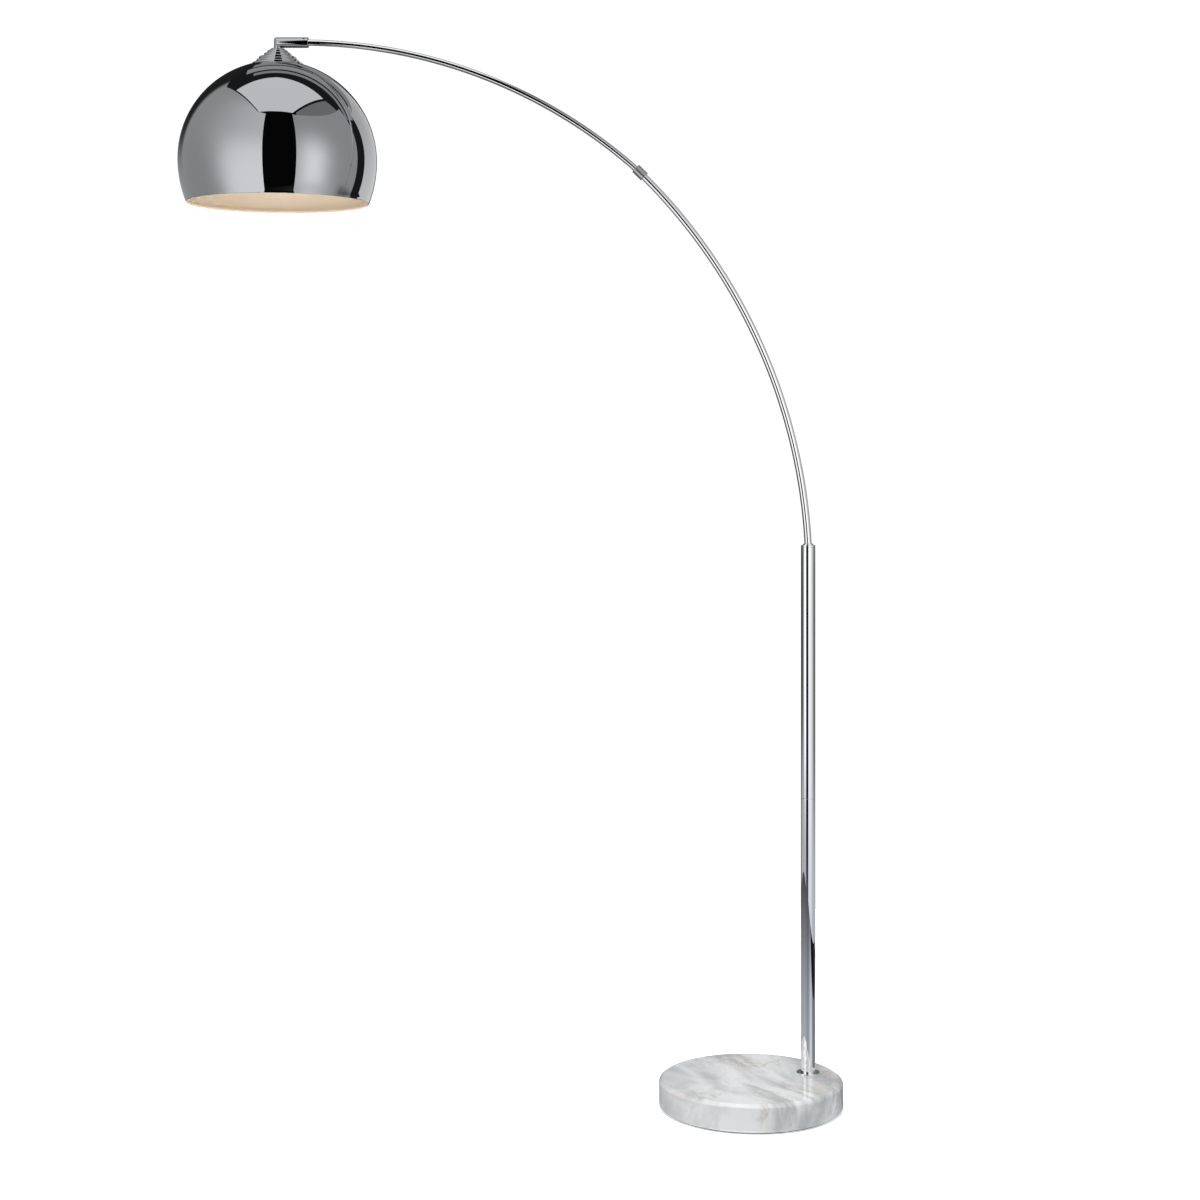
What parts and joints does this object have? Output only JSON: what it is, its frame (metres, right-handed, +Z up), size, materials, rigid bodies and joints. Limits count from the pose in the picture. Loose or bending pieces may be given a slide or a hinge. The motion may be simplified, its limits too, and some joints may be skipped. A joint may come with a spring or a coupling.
{
  "type": "arc floor lamp",
  "caption": "Arc floor lamp with a round marble base, a straight pole, a long curved arm that swivels in the pole, and a mirror-finished dome shade hung from the arm's tip.",
  "frame": {"origin": "centre of the base's underside, on the floor", "axes": "+Z up; the arm's plane is parallel to X-Z and the arm reaches towards -X; the pole's cord inlet faces +Y, the back"},
  "size_m": [1.0587, 0.3297, 1.7022],
  "materials": {
    "marble": "polished white-grey marble",
    "felt": "pressed felt",
    "zinc_steel": "zinc plated",
    "chrome_tube": "bright chrome",
    "satin_nickel": "satin nickel",
    "dark_screw": "blackened",
    "mirror_shade": "dark mirror chrome outside, warm white paint inside",
    "brass": "plain",
    "nylon": "natural nylon",
    "black_plastic": "moulded",
    "ceramic": "unglazed",
    "flex_sheath": "matt sheath",
    "bulb_metal": "bright can",
    "bulb_white": "moulded",
    "bulb_opal": "opal diffuser"
  },
  "bodies": {
    "stand": {"base_felt": "felt", "marble_base": "marble", "base_bolt": "zinc_steel", "base_lock_washer": "zinc_steel", "base_washer": "zinc_steel", "pole_foot_plug": "zinc_steel", "foot_collar": "chrome_tube", "lower_pole": "chrome_tube", "cord_bush": "black_plastic", "pole_joiner": "zinc_steel", "upper_pole": "chrome_tube", "pole_cap": "chrome_tube", "swivel_bush_upper": "nylon", "swivel_bush_lower": "nylon", "pole_flex": "flex_sheath"},
    "arm": {"arm_spigot": "chrome_tube", "swivel_stop_pin": "zinc_steel", "retaining_ring": "zinc_steel", "arm_lower": "chrome_tube", "arm_ferrule": "satin_nickel", "ferrule_screw": "dark_screw", "arm_upper": "chrome_tube", "arm_flex": "flex_sheath"},
    "head": {"elbow": "chrome_tube", "elbow_screw": "dark_screw", "nipple": "brass", "shade_cap": "mirror_shade", "cap_spacer": "zinc_steel", "shade": "mirror_shade", "nipple_washer": "zinc_steel", "nipple_nut": "zinc_steel", "lampholder_cap": "black_plastic", "lampholder_body": "black_plastic", "lampholder_core": "ceramic", "screw_shell": "brass", "centre_contact": "brass", "terminal_screws": "brass", "head_flex": "flex_sheath"},
    "bulb": {"bulb_tip": "bulb_metal", "bulb_cap": "bulb_metal", "bulb_housing": "bulb_white", "bulb_globe": "bulb_opal"}
  },
  "joints": [
    {"name": "arm_swivel", "type": "hinge", "parent": "stand", "child": "arm", "pos_m": [0.09347, 0.02592, 0.89], "axis": [0, 0, 1], "range_deg": [-90, 90]},
    {"name": "shade_roll", "type": "hinge", "parent": "arm", "child": "head", "pos_m": [-0.70619, 0.02592, 1.69378], "axis": [1, 0, 0], "range_deg": [-60, 60]},
    {"name": "bulb_out", "type": "slide", "parent": "head", "child": "bulb", "axis": [0, 0, -1], "range_m": [0, 0.2]}
  ]
}
